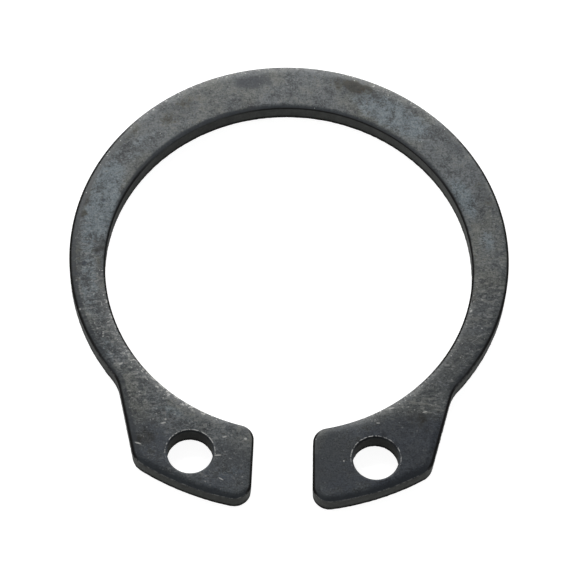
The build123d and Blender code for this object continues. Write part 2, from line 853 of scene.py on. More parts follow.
@dataclass(frozen=True)
class TumblingMarks:
    """Shallow dents on the faces and torn walls."""

    dent_gap: float = 0.9 * MM
    dent_density: float = 0.7e6
    dent_radius: float = 0.3 * MM
    dent_depth: float = 0.009 * MM
    wave_size: float = 3.2 * MM
    wave_depth: float = 0.012 * MM
    tear_size: float = 0.11 * MM
    tear_depth: float = 0.016 * MM
    smallest_dent: float = 0.3
    most_flank: float = 0.5
    wave_span: Span = (0.25, 0.75)
    tear_span: Span = (0.3, 0.7)
    seed: int = 20

    def inputs(self, material: bpy.types.Material) -> tuple[TreeInput, ...]:
        """The tree's inputs, at this ring's sizes."""
        sizes = {
            "Dent Gap": self.dent_gap,
            "Dent Density": self.dent_density,
            "Dent Radius": self.dent_radius,
            "Dent Depth": self.dent_depth,
            "Wave Scale": 1 / self.wave_size,
            "Wave Depth": self.wave_depth,
            "Tear Scale": 1 / self.tear_size,
            "Tear Depth": self.tear_depth,
        }
        return (
            *(TreeInput(name, "NodeSocketFloat", size) for name, size in sizes.items()),
            TreeInput("Seed", "NodeSocketInt", self.seed),
            TreeInput("Material", "NodeSocketMaterial", material),
        )

    def dents(self, made: GeometryTree, place: Socket) -> Socket:
        """How deep each point lies in the nearest dent, from 0 to 1.

        Args:
            made: the tree.
            place: each point's position.

        Returns:
            A bowl about each dent's middle, of a random width and depth.
        """
        bench = made.bench
        flank = {0: made.stored("flank"), 1: self.most_flank}
        scattered = bench.node(
            "GeometryNodeDistributePointsOnFaces",
            {
                "Mesh": made.source.outputs["Geometry"],
                "Selection": bench.node("FunctionNodeCompare", flank, operation="LESS_THAN").outputs[0],
                "Distance Min": made.named("Dent Gap"),
                "Density Max": made.named("Dent Density"),
                "Seed": made.named("Seed"),
            },
            distribute_method="POISSON",
        ).outputs["Points"]
        nearest = bench.node("GeometryNodeSampleNearest", {"Geometry": scattered, "Sample Position": place})
        middle = bench.node(
            "GeometryNodeSampleIndex",
            {"Geometry": scattered, "Value": place, "Index": nearest.outputs[0]},
            data_type="FLOAT_VECTOR",
        )
        size = bench.node(
            "FunctionNodeRandomValue",
            {
                RandomSocket.LEAST: self.smallest_dent,
                RandomSocket.MOST: 1.0,
                "ID": nearest.outputs[0],
                "Seed": made.named("Seed"),
            },
            data_type="FLOAT",
        ).outputs[RandomSocket.RESULT]
        away = bench.node("ShaderNodeVectorMath", {0: place, 1: middle.outputs[0]}, operation="DISTANCE")
        reach = bench.maths("DIVIDE", away.outputs["Value"], bench.product(made.named("Dent Radius"), size))
        bowl = bench.maths("SUBTRACT", 1.0, bench.maths("MULTIPLY", reach, reach), clamp=True)
        return bench.product(bowl, bowl, size)

    def tree(self, material: bpy.types.Material) -> GeometryTree:
        """The tree that moves each point along its normal.

        Args:
            material: the finish.

        Returns:
            The tree, which reads the attributes flank and fracture.
        """
        made = GeometryTree("tumbling_marks", self.inputs(material))
        bench = made.bench
        place = bench.node("GeometryNodeInputPosition").outputs[0]
        normal = bench.node("GeometryNodeInputNormal").outputs[0]

        def noise(scale: str, detail: float) -> Socket:
            inputs = {"Vector": place, "Scale": made.named(scale), "Detail": detail}
            return bench.node("ShaderNodeTexNoise", inputs).outputs[0]

        dent = self.dents(made, place)
        face = bench.maths("SUBTRACT", 1.0, made.stored("flank"), clamp=True)
        wave = bench.ramp(noise("Wave Scale", detail=1.0), self.wave_span)
        tear = bench.ramp(noise("Tear Scale", detail=2.0), self.tear_span)
        fall = bench.total(
            bench.product(dent, made.named("Dent Depth"), face),
            bench.product(wave, made.named("Wave Depth"), face),
            bench.product(tear, made.named("Tear Depth"), made.stored("fracture")),
        )
        inwards = bench.maths("MULTIPLY", fall, -1.0)
        shift = bench.node("ShaderNodeVectorMath", {0: normal, "Scale": inwards}, operation="SCALE")
        ring = {"Geometry": made.source.outputs["Geometry"], "Offset": shift.outputs[0]}
        made.finish(bench.node("GeometryNodeSetPosition", ring).outputs[0])
        return made


# The ring


@dataclass(frozen=True)
class Patch:
    """An oval patch of the coat or of painted shade on the top face, placed in the ring's plan in
    millimetres.
    """

    x: float
    y: float
    length: float
    width: float
    turn: float = 0.0
    strength: float = 1.0
    fade: Span = (1.5, 0.5)

    def share(self, places: np.ndarray) -> np.ndarray:
        """How much of the patch each place has, from 0 to its strength.

        Args:
            places: points of the plan.

        Returns:
            One share for each point.
        """
        offset = places / MM - (self.x, self.y)
        angle = math.radians(self.turn)
        along = (offset[:, 0] * math.cos(angle) + offset[:, 1] * math.sin(angle)) / (self.length / 2)
        across = (offset[:, 1] * math.cos(angle) - offset[:, 0] * math.sin(angle)) / (self.width / 2)
        return self.strength * soft_step(np.hypot(along, across), self.fade)


class Mottle(Enum):
    """A kind of patch in the coat, and the attribute that holds it. Some smudges and stains are painted
    shade.
    """

    SHEEN = "sheen"
    SMUDGE_AND_SHADE = "smudge_and_shade"
    STAIN_AND_SHADE = "stain_and_shade"
    RUST = "rust"
    STREAKS = "streaks"


@dataclass(frozen=True)
class EdgeShading:
    """Painted shade and highlight along an edge: the roll painted dark where it faces forward, black in its
    corners, a glint on the forward crease.
    """

    bore_margin: float = 0.2 * MM
    # Directions of the painted shade: forward points away from the back lamps
    forward: Span = (0.0, -0.77)
    sideways: Span = (0.6, 0.9)
    bore_left: Span = (0.1, 0.5)
    outer_left: Span = (-0.6, -0.9)
    least_roll: float = 0.2
    bore_left_gain: float = 0.6
    outer_left_roll: float = 0.56
    shaded_roll: Span = (0.0, 0.3)
    black_roll: Span = (0.68, 0.88)
    bore_left_crease: float = 0.5
    bore_left_wall: float = 0.3
    hole_wall: float = 0.33
    hole_roll: float = 0.6

    def attributes(self, loop: Loop, section: np.recarray, bore_radius: float) -> dict[str, np.ndarray]:
        """What the finish reads along one loop.

        Args:
            loop: of the plan.
            section: of its edge.
            bore_radius: of the ring.

        Returns:
            By attribute, a row for each point of the loop and a column for each of the section.
        """
        x, y = loop.outward[:, :1], loop.outward[:, 1:]
        in_bore = np.hypot(*loop.points.T)[:, None] < bore_radius + self.bore_margin
        # The roll is painted darker as shade where it faces forward, on the bore's left side and on the
        # outer left edge
        forward = soft_step(y, self.forward)
        bore_left = in_bore * soft_step(x, self.bore_left)
        outer_left = ~in_bore * soft_step(x, self.outer_left)
        rolled = section.roll * (self.least_roll + (1 - self.least_roll) * forward)
        shaded = self.outer_left_roll * outer_left * soft_step(section.roll, self.shaded_roll)
        if loop.kind is LoopKind.HOLE:
            crease = np.zeros_like(rolled)
            # Painted shade in the hole walls and on the forward part of the hole's roll
            dark_roll = soft_step(section.roll, self.shaded_roll) * forward * (1 - section.flank)
            dark = (self.hole_wall * section.flank, self.hole_roll * dark_roll)
        else:
            # A painted glint along the crease where the outer edge faces forward
            crease = section.crease * forward * ~in_bore
            # Black painted as shade: in the crease and outer roll at the sides, in the bore's forward crease
            # and on its left wall
            low = np.maximum(section.crease, soft_step(section.roll, self.black_roll))
            deep = section.crease * forward * in_bore * (1 - self.bore_left_crease * bore_left)
            wall = self.bore_left_wall * section.flank * bore_left
            dark = (low * soft_step(np.abs(x), self.sideways), deep, wall)
        made = {
            "roll": np.minimum(1.0, np.maximum(rolled * (1 + self.bore_left_gain * bore_left), shaded)),
            "crease": crease,
            "flank": section.flank,
            "fracture": section.fracture,
            "painted_shade": np.max(np.broadcast_arrays(*dark, section.foot_shade), axis=0),
        }
        return {name: np.broadcast_to(values, rolled.shape) for name, values in made.items()}


@dataclass(frozen=True)
class WearAndBackHighlight:
    """Where handling has rubbed the coat, and a painted highlight outside the back. Angles are in degrees
    about the bore axis, from the gap.
    """

    bore_width: float = 0.7 * MM
    bore_share: float = 0.8
    rim_width: float = 0.16 * MM
    rim_share: float = 0.35
    right_share: float = 0.68
    lug_angles: Span = (16.0, 28.0)
    band_angles: Span = (98.0, 72.0)
    gap_width: float = 0.35 * MM
    gap_share: float = 0.6
    gap_angles: Span = (14.0, 10.0)
    gap_reach: float = 1.2 * MM
    back_highlight_width: float = 0.5 * MM
    back_highlight_share: float = 0.65
    back_highlight_angles: Span = (95.0, 120.0)
    top_share: float = 0.8
    front: Span = (5.0 * MM, -5.0 * MM)
    left: Span = (1.0 * MM, -3.0 * MM)
    lugs: Span = (-7.0 * MM, -9.5 * MM)
    back_handling: float = 0.33
    left_lug_calm: float = 0.45
    right_lug_calm: float = 0.85

    def wear_and_highlight(
        self, plan: StampedPlan, places: np.ndarray, height: np.ndarray, inset: np.ndarray
    ) -> np.ndarray:
        """Where the coat is rubbed pale, by the bore towards the lugs and by the gap, and a painted
        highlight outside the back.

        Args:
            plan: the ring's plan.
            places: each vertex's place in it.
            height: of each vertex.
            inset: how far each vertex lies from the nearest edge.

        Returns:
            The wear and the painted highlight, from 0 to about 1.
        """
        from_axis = np.hypot(*places.T)
        from_gap = np.degrees(np.arctan2(np.abs(places[:, 0]), -places[:, 1]))
        from_bore = from_axis - plan.bore_radius
        by_bore = self.bore_share * soft_step(from_bore, (self.bore_width, 0.0))
        by_bore += self.rim_share * soft_step(from_bore, (self.rim_width, 0.0))
        by_bore *= soft_step(from_gap, self.lug_angles) * soft_step(from_gap, self.band_angles)
        by_bore[places[:, 0] >= 0] *= self.right_share
        by_gap = self.gap_share * soft_step(inset, (self.gap_width, 0.0))
        by_gap *= soft_step(from_gap, self.gap_angles)
        by_gap *= -places[:, 1] < plan.bore_radius + self.gap_reach
        # A painted highlight along the outer edge at the back, which faces the back lamps
        back_highlight = self.back_highlight_share * soft_step(inset, (self.back_highlight_width, 0.0))
        back_highlight *= soft_step(from_gap, self.back_highlight_angles)
        back_highlight *= from_axis > plan.band_radius - plan.band_centre[1]
        return np.max((by_bore, by_gap, back_highlight), axis=0) * (height > self.top_share * plan.thickness)

    def handling(self, places: np.ndarray) -> np.ndarray:
        """How much handling each place shows.

        Args:
            places: each vertex's place in the plan.

        Returns:
            The most on the band by the lugs and the least at the back, from 0 to 1.
        """
        forward = soft_step(places[:, 1], self.front)
        left = soft_step(places[:, 0], self.left)
        calm = self.left_lug_calm * left + self.right_lug_calm * (1 - left)
        calm *= soft_step(places[:, 1], self.lugs)
        return (self.back_handling + (1 - self.back_handling) * forward) * (1 - calm)


@dataclass
class RetainingRing:
    """The ring: its edges swept along the plan, its faces filled in and its surface marked."""

    plan: StampedPlan
    edge: ShearedEdge = ShearedEdge()
    hole_edge: ShearedEdge = ShearedEdge(
        roll_width=0.1 * MM,
        roll_depth=0.05 * MM,
        crease_inset=0.015 * MM,
        crease_height=0.03 * MM,
        roll_rows=8,
    )
    marks: TumblingMarks = TumblingMarks()
    # Painted shade and highlight along the edges
    tone: EdgeShading = EdgeShading()
    wear_and_back_highlight: WearAndBackHighlight = WearAndBackHighlight()
    outline_step: float = 0.12 * MM
    hole_step: float = 0.07 * MM
    top_spacing: float = 0.115 * MM
    underside_spacing: float = 0.17 * MM
    jitter: float = 0.18
    clearance: float = 0.65
    hole_rim_reach: float = 1.05
    same_height: float = 1e-3 * MM
    same_place: float = 1e-4 * MM
    seed: int = 7
    patches: dict[Mottle, tuple[Patch, ...]] = field(
        default_factory=lambda: {
            Mottle.SHEEN: (
                Patch(-9.6, 3.3, 5.8, 1.6, 77.0),
                Patch(-10.0, -1.3, 3.6, 1.0, 98.0, 0.6),
                Patch(-9.0, -4.9, 1.6, 0.8, 115.0, 0.6),
                Patch(-7.8, 6.6, 2.6, 1.0, 45.0, 0.5),
                Patch(5.0, 9.1, 4.8, 1.6, -32.0),
                Patch(8.8, 4.3, 2.4, 0.9, -62.0, 0.9),
                Patch(10.0, 1.8, 1.2, 0.8, -80.0, 0.6),
                Patch(-5.8, -8.4, 1.6, 0.6, -10.0, 0.6),
                Patch(-2.6, -11.6, 1.4, 0.8, 10.0, 0.5),
            ),
            Mottle.SMUDGE_AND_SHADE: (
                Patch(-2.3, 10.7, 1.7, 0.8, 5.0, 0.85),
                Patch(-1.5, 10.9, 0.9, 0.5, -40.0, 0.7),
                Patch(8.5, 7.2, 0.7, 0.4, -50.0, 0.8),
                Patch(-9.6, 0.6, 0.6, 0.4, 60.0, 0.8),
                # Partly smudges and partly painted shade: these darken the lugs and the front of the band,
                # away from the back lamps
                Patch(6.2, -10.3, 6.6, 4.4, 12.0, 1.3),
                Patch(2.8, -10.9, 3.4, 4.4, 0.0, 0.85),
                Patch(-6.4, -10.6, 4.6, 2.8, -50.0, 0.75),
                Patch(-3.2, -11.4, 4.8, 3.2, -8.0, 0.6),
                Patch(8.7, -4.4, 9.0, 2.6, 62.0, 0.55),
                Patch(7.9, -6.3, 2.2, 1.2, 50.0, 0.55),
                Patch(-10.31, -0.26, 0.3, 0.3, 0.0, 1.2),
                Patch(-9.51, 3.44, 0.25, 0.2, 0.0, 1.2),
            ),
            Mottle.STAIN_AND_SHADE: (
                Patch(3.05, 10.65, 1.2, 0.7, -30.0, 1.3),
                Patch(2.9, 10.6, 2.6, 1.1, -25.0, 0.55),
                Patch(2.3, 11.0, 0.7, 0.5, 0.0, 0.8),
                Patch(3.9, 10.5, 1.0, 0.35, -35.0, 0.8),
                Patch(-5.8, 8.9, 2.4, 1.0, 40.0, 0.5),
                Patch(-8.7, 7.0, 2.8, 0.6, 48.0, 0.45),
                Patch(-10.38, 3.31, 0.5, 0.3, 60.0, 1.1),
                Patch(-10.5, 2.6, 0.5, 0.3, 60.0, 1.1),
                Patch(-10.5, 3.6, 3.4, 0.5, 75.0, 0.5),
                # Painted shade along the left outer edge, which gets less light
                Patch(-10.85, -0.3, 6.4, 0.9, 91.0, 0.55),
                Patch(9.35, -0.4, 3.0, 0.4, 90.0, 0.5),
                Patch(-9.57, 0.63, 0.8, 0.35, 20.0, 0.9),
                Patch(-9.43, -0.6, 2.0, 0.5, 92.0, 0.5),
                Patch(8.1, 7.9, 1.5, 0.6, -50.0, 0.5),
                Patch(9.8, 4.6, 1.9, 0.7, -65.0, 0.45),
                Patch(-6.9, -9.9, 1.1, 0.9, 20.0, 0.85),
                Patch(6.6, -8.2, 2.4, 1.4, 30.0, 0.35),
            ),
            Mottle.RUST: (Patch(3.4, 10.4, 0.6, 0.35, 20.0, 0.7),),
            Mottle.STREAKS: (
                Patch(6.5, -7.95, 3.2, 2.2, 30.0),
                Patch(9.8, -1.8, 5.4, 1.5, 85.0, 0.9),
                Patch(-5.6, 9.0, 4.0, 1.6, 40.0, 0.6),
            ),
        }
    )

    def strips(self, material: bpy.types.Material) -> bmesh.types.BMesh:
        """Every swept edge in one mesh, with the attributes of its section.

        Args:
            material: the finish.

        Returns:
            The strips, open at the top face and the underside.
        """
        joined = bmesh.new()
        names = ("roll", "crease", "flank", "fracture", "painted_shade")
        layers = {name: joined.verts.layers.float.new(name) for name in names}
        for loop in (self.plan.outline(self.outline_step), *self.plan.holes(self.hole_step)):
            edge = self.hole_edge if loop.kind is LoopKind.HOLE else self.edge
            mesh = EdgeSweep(edge, self.plan.thickness).sweep(loop, material)
            first = len(joined.verts)
            joined.from_mesh(mesh)
            bpy.data.meshes.remove(mesh)
            joined.verts.ensure_lookup_table()
            section = edge.section(self.plan.thickness)
            for name, values in self.tone.attributes(loop, section, self.plan.bore_radius).items():
                for vertex, value in zip(joined.verts[first:], values.ravel()):
                    vertex[layers[name]] = value
        return joined

    def fill_face(self, ring: bmesh.types.BMesh, height: float, spacing: float) -> None:
        """Closes the top face or the underside with small even triangles.

        Args:
            ring: the open strips.
            height: of the face.
            spacing: between the points inside it.
        """
        open_edges = [edge for edge in ring.edges if edge.is_boundary]
        rim = [edge for edge in open_edges if abs(edge.verts[0].co.z - height) < self.same_height]
        vertices = sorted({vertex for edge in rim for vertex in edge.verts}, key=lambda vertex: vertex.index)
        number = {vertex: i for i, vertex in enumerate(vertices)}
        edges = [(number[edge.verts[0]], number[edge.verts[1]]) for edge in rim]
        places = [vertex.co.xy for vertex in vertices]
        rim_gaps = self.plan.hole_gaps(np.array(places))
        across_hole = set(np.flatnonzero(rim_gaps < self.hole_edge.roll_width * self.hole_rim_reach))
        is_top = height > self.plan.thickness / 2
        places += self.places_inside(self.edge.margin(is_top), self.hole_edge.margin(is_top), spacing)
        inside_constraints = 1
        filled = geometry.delaunay_2d_cdt(places, edges, [], inside_constraints, self.same_place)
        _, _, faces, origins, *_ = filled
        vertices += [ring.verts.new((*place, height)) for place in places[len(vertices) :]]
        for face in faces:
            corners = [origins[i][0] for i in face]
            if not across_hole.issuperset(corners):
                ring.faces.new([vertices[i] for i in corners])

    def places_inside(self, margin: Margin, hole_margin: Margin, spacing: float) -> list[Vector]:
        """A jittered honeycomb of points inside a face.

        Args:
            margin: between the outline and the face.
            hole_margin: between a hole's wall and the face.
            spacing: from one point to the next.

        Returns:
            The points.
        """
        chance = np.random.default_rng(self.seed)
        reach = self.plan.lug_radius
        row_gap = spacing * math.sin(math.pi / 3)
        rows, columns = math.ceil(2 * reach / row_gap), math.ceil(2 * reach / spacing)
        row, column = (index.ravel() for index in np.mgrid[:rows, :columns])
        comb = np.stack(((column + row % 2 / 2) * spacing - reach, row * row_gap - reach), axis=1)
        comb += chance.uniform(-1, 1, comb.shape) * self.jitter * spacing
        insets, roll = self.plan.insets(comb, self.outline_step)
        clear = self.clearance * spacing
        off_holes = self.plan.hole_gaps(comb) > hole_margin(FULL_ROLL) + clear
        return [Vector(place) for place in comb[off_holes & (insets > margin(roll) + clear)]]

    def paint(self, mesh: bpy.types.Mesh) -> None:
        """Writes the attributes that the coat, its wear and its painted back highlight follow.

        Args:
            mesh: the closed ring.
        """
        where = vertex_places(mesh).astype(float)
        places, height = where[:, :2], where[:, 2]
        inset, _ = self.plan.insets(places, self.outline_step)
        self.write(mesh, "wear_and_highlight", self.wear_and_back_highlight.wear_and_highlight(self.plan, places, height, inset))
        self.write(mesh, "handling", self.wear_and_back_highlight.handling(places))
        for kind, patches in self.patches.items():
            shares = [patch.share(places) for patch in patches]
            self.write(mesh, kind.value, np.max(shares, axis=0) * (height > self.plan.thickness / 2))

    @staticmethod
    def write(mesh: bpy.types.Mesh, name: str, values: np.ndarray) -> None:
        """Writes one float attribute of the vertices."""
        layer = mesh.attributes.new(name, "FLOAT", "POINT")
        layer.data.foreach_set("value", values.astype(np.float32))

    def build(self, material: bpy.types.Material) -> bpy.types.Object:
        """The finished ring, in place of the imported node.

        Args:
            material: the finish.

        Returns:
            The object, which rides on the frame.
        """
        ring = self.strips(material)
        self.fill_face(ring, self.plan.thickness, self.top_spacing)
        self.fill_face(ring, 0.0, self.underside_spacing)
        bmesh.ops.recalc_face_normals(ring, faces=ring.faces)
        blank = bpy.data.meshes.new("ring_blank")
        ring.to_mesh(blank)
        ring.free()
        self.paint(blank)
        obj = bpy.data.objects.new("stamped_ring", blank)
        bpy.context.scene.collection.objects.link(obj)
        obj.data = self.marks.tree(material).run(obj)
        obj.data.name = "stamped_ring"
        bpy.data.meshes.remove(blank)
        obj.data.shade_smooth()
        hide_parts(NODE)
        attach(obj, BODY)
        return obj


# The finish


@dataclass(frozen=True)
class Nick:
    """A bright nick through the coat of the top face, placed in the ring's plan in millimetres."""

    x: float
    y: float
    length: float = 0.12
    width: float = 0.1
    turn: float = 0.0
    fade: Span = (1.3, 0.7)

    def share(self, bench: Bench, place: Socket) -> Socket:
        """1 in the nick and 0 elsewhere.

        Args:
            bench: the material's nodes.
            place: the coordinates.

        Returns:
            The share, on the underside as well.
        """
        local = bench.node(
            "ShaderNodeMapping",
            {
                "Vector": place,
                "Location": (self.x * MM, self.y * MM, 0.0),
                "Rotation": (0.0, 0.0, math.radians(self.turn)),
                "Scale": (self.length * MM / 2, self.width * MM / 2, 1.0),
            },
            vector_type="TEXTURE",
        )
        reach = bench.node("ShaderNodeVectorMath", {0: local.outputs[0]}, operation="LENGTH")
        return bench.ramp(reach.outputs["Value"], self.fade)


@dataclass(frozen=True)
class Grain:
    """The coordinates and noises that the parts of the coat share."""

    place: Socket
    coarse: Socket
    crystals: Socket
    fine: Socket
    flakes: Socket
    uneven: Socket


@dataclass(frozen=True)
class PhosphatedSteel:
    """Zinc phosphate on spring steel, oiled and handled: blue-grey crystals over a brown ground."""

    # Colours of the coat
    blue_grey: Colour = (0.071, 0.079, 0.084)
    brown_grey: Colour = (0.071, 0.075, 0.069)
    sheen: Colour = (0.085, 0.104, 0.115)
    # Dark pits, and the painted shade of the rolled edge
    rolled: Colour = (0.020, 0.024, 0.029)
    flank: Colour = (0.0405, 0.044, 0.0405)
    # Painted shade in corners and creases, in the hole walls and along the foot
    black: Colour = (0.002, 0.002, 0.002)
    pale: Colour = (0.38, 0.38, 0.365)
    brushed: Colour = (0.27, 0.27, 0.24)
    # Painted highlight on the plier holes' rims and along the crease
    painted_highlight: Colour = (0.62, 0.62, 0.60)

    # Tints of its patches, which multiply what they cover; some smudges and stains are painted shade
    smudge_and_shade: Colour = (0.345, 0.375, 0.455)
    stain_and_shade: Colour = (0.25, 0.225, 0.165)
    rust: Colour = (0.75, 0.48, 0.28)

    # Noises
    grain_noise: Noise = Noise(0.7 * MM, detail=5.0, roughness=0.72)
    crystal_noise: Noise = Noise(0.22 * MM, detail=3.0, roughness=0.6, distortion=1.4)
    fine_noise: Noise = Noise(0.09 * MM, detail=2.0, roughness=0.7)
    flake_noise: Noise = Noise(0.13 * MM, detail=1.0, distortion=0.8)
    cloud_noise: Noise = Noise(3.0 * MM, detail=2.0, distortion=0.6)
    brush_noise: Noise = Noise(0.15 * MM, detail=2.0)
    chip_noise: Noise = Noise(0.13 * MM, detail=1.0)
    wall_noise: Noise = Noise(0.09 * MM, detail=3.0, roughness=0.6)
    speck_dots: Dots = Dots(0.15 * MM, share=0.13, radius=0.22)
    scratch_dots: Dots = Dots(0.9 * MM, share=0.3, radius=0.05)

    # How the noises are stretched and turned
    flake_scale: tuple[float, float, float] = (0.5, 1.0, 1.0)
    brush_scale: tuple[float, float, float] = (0.3, 1.0, 1.0)
    brush_turn: float = math.radians(-12.0)
    scratch_scale: tuple[float, float, float] = (0.35, 1.0, 1.0)
    scratch_turn: float = 0.7
    wall_scale: tuple[float, float, float] = (1.0, 1.0, 0.12)

    # The ground, and the ragged edges of its patches
    uneven_crystals: float = 0.7
    uneven_gain: float = 2.4
    uneven_offset: float = -2.04
    patch_edge: Span = (0.25, 1.0)
    cloud_break: float = 0.5
    brown_edge: Span = (0.4, 0.75)
    mix_shares: tuple[float, float, float] = (0.6, 0.5, 0.45)
    mix_span: Span = (0.56, 0.99)
    mix_tones: Span = (0.2, 1.8)

    # Pale curls and flakes, dark pits and brush streaks
    curl_level: float = 0.55
    curl_line: Span = (0.022, 0.008)
    curl_places: Span = (0.46, 0.58)
    curl_share: float = 0.31
    flake_span: Span = (0.58, 0.66)
    flake_share: float = 0.27
    crystal_pits: Span = (0.36, 0.3)
    flake_pits: Span = (0.42, 0.33)
    pit_share: float = 0.7
    brush_span: Span = (0.54, 0.6)
    brush_share: float = 0.26

    # The rolled edge, with its painted shade, and the wall
    roll_span: Span = (0.1, 0.75)
    roll_tones: Span = (0.0, 0.85)
    wall_streaks: float = 0.3
    wall_grain: float = 0.7
    wall_span: Span = (0.3, 0.7)
    wall_tones: Span = (0.6, 1.4)

    # What has broken through the coat
    roll_cover: float = 0.8
    chip_wear: float = 0.3
    chip_span: Span = (0.8, 0.86)
    speck_share: float = 0.7
    scratch_share: float = 0.7
    chip_share: float = 0.8
    nick_share: float = 0.8
    wear_share: float = 0.17

    # The painted highlights: a thin line round the back of each plier hole and the glint along the crease
    rim_gap: float = 0.112 * MM
    rim_width: float = 0.07 * MM
    rim_behind: Span = (-0.5, 0.2)
    rim_height: Span = (0.5, 0.9)
    rim_span: Span = (0.43, 0.55)
    rim_tones: Span = (0.03, 0.7)
    glint_rows: Span = (0.5, 1.0)
    glint_span: Span = (0.42, 0.58)
    glint_tones: Span = (0.01, 0.16)
    glint_metal: float = 0.8

    # Gloss and bump
    roughness: float = 0.46
    fine_roughness: float = 0.18
    sheen_polish: float = 0.06
    bump_height: float = 0.014 * MM
    fine_bump: float = 0.5
    nicks: tuple[Nick, ...] = (
        Nick(-1.87, -9.77, 0.14, 0.12),
        Nick(-10.41, -2.85, 0.14, 0.12),
        Nick(-7.15, -10.2, 0.34, 0.07, -20.0),
        Nick(-5.95, -9.05, 0.26, 0.08, 15.0),
        Nick(-5.85, -8.85, 0.1, 0.1),
        Nick(-3.2, -10.72, 0.34, 0.07, 5.0),
        Nick(-3.0, -12.0, 0.26, 0.06, -30.0),
        Nick(-2.9, -9.7, 0.22, 0.07, 20.0),
        Nick(-8.2, -5.85, 0.24, 0.1, 30.0),
        Nick(4.65, -8.65, 0.18, 0.06, 0.0),
        Nick(3.0, -10.8, 0.08, 0.07),
        Nick(6.95, -7.95, 0.24, 0.06, 15.0),
        Nick(5.3, -7.8, 0.3, 0.07, 10.0),
        Nick(9.2, -2.2, 0.16, 0.1, 60.0),
    )

    def grain(self, bench: Bench, place: Socket) -> Grain:
        """The noises that the parts of the coat share.

        Args:
            bench: the material's nodes.
            place: the coordinates.

        Returns:
            The noises at the coordinates.
        """
        coarse = self.grain_noise.at(bench, place)
        crystals = self.crystal_noise.at(bench, place)
        mixed = bench.total(coarse, bench.product(crystals, self.uneven_crystals))
        return Grain(
            place=place,
            coarse=coarse,
            crystals=crystals,
            fine=self.fine_noise.at(bench, place),
            flakes=self.flake_noise.at(bench, bench.stretched(place, self.flake_scale)),
            uneven=bench.maths("MULTIPLY_ADD", mixed, self.uneven_gain, self.uneven_offset),
        )

    def patch(self, bench: Bench, grain: Grain, kind: Mottle) -> Socket:
        """One kind of patch, with ragged edges."""
        return bench.ramp(bench.total(bench.attribute(kind.value), grain.uneven), self.patch_edge)

    def ground(self, bench: Bench, grain: Grain, sheen: Socket) -> Socket:
        """The coat's blue and brown ground under its fine mottle.

        Args:
            bench: the material's nodes.
            grain: the shared noises.
            sheen: the share of the bluest patches.

        Returns:
            The colour.
        """
        cloud = self.cloud_noise.at(bench, grain.place)
        cloud = bench.total(cloud, bench.product(grain.uneven, self.cloud_break))
        coat = bench.blend(bench.ramp(cloud, self.brown_edge), self.blue_grey, self.brown_grey)
        coat = bench.blend(sheen, coat, self.sheen)
        noises = (grain.coarse, grain.crystals, grain.fine)
        mix = bench.total(*(bench.product(noise, share) for noise, share in zip(noises, self.mix_shares)))
        return bench.blend(1.0, coat, bench.ramp(mix, self.mix_span, self.mix_tones), how="MULTIPLY")

    def patched(self, bench: Bench, grain: Grain, coat: Socket, handling: Socket) -> Socket:
        """The coat with its curls, flakes, pits and streaks, under its smudges, stains and rust, part of
        them painted shade.

        Args:
            bench: the material's nodes.
            grain: the shared noises.
            coat: the ground.
            handling: how much handling the place shows.

        Returns:
            The colour.
        """
        off_curl = bench.maths("ABSOLUTE", bench.maths("SUBTRACT", grain.crystals, self.curl_level))
        curls = bench.ramp(off_curl, self.curl_line)
        curls = bench.product(curls, bench.ramp(grain.coarse, self.curl_places))
        flakes = bench.ramp(grain.flakes, self.flake_span)
        pits = bench.ramp(grain.crystals, self.crystal_pits)
        pits = bench.maths("MAXIMUM", pits, bench.ramp(grain.flakes, self.flake_pits))
        brush_place = bench.stretched(grain.place, self.brush_scale, self.brush_turn)
        streaks = bench.ramp(self.brush_noise.at(bench, brush_place), self.brush_span)
        for share, colour in (
            (bench.product(curls, handling, self.curl_share), self.pale),
            (bench.product(flakes, handling, self.flake_share), self.pale),
            (bench.product(pits, handling, self.pit_share), self.rolled),
            (bench.product(streaks, bench.attribute(Mottle.STREAKS.value), self.brush_share), self.brushed),
        ):
            coat = bench.blend(share, coat, colour)
        tints = {Mottle.SMUDGE_AND_SHADE: self.smudge_and_shade, Mottle.STAIN_AND_SHADE: self.stain_and_shade, Mottle.RUST: self.rust}
        for kind, tint in tints.items():
            coat = bench.blend(self.patch(bench, grain, kind), coat, tint, how="MULTIPLY")
        return coat

    def wall(self, bench: Bench, grain: Grain, torn: Socket) -> Socket:
        """The wall's blotched colour.

        Args:
            bench: the material's nodes.
            grain: the shared noises.
            torn: upright streaks.

        Returns:
            The colour.
        """
        streaks = bench.product(torn, self.wall_streaks)
        blotch = bench.total(streaks, bench.product(grain.coarse, self.wall_grain))
        tone = bench.ramp(blotch, self.wall_span, self.wall_tones)
        return bench.blend(1.0, self.flank, tone, how="MULTIPLY")

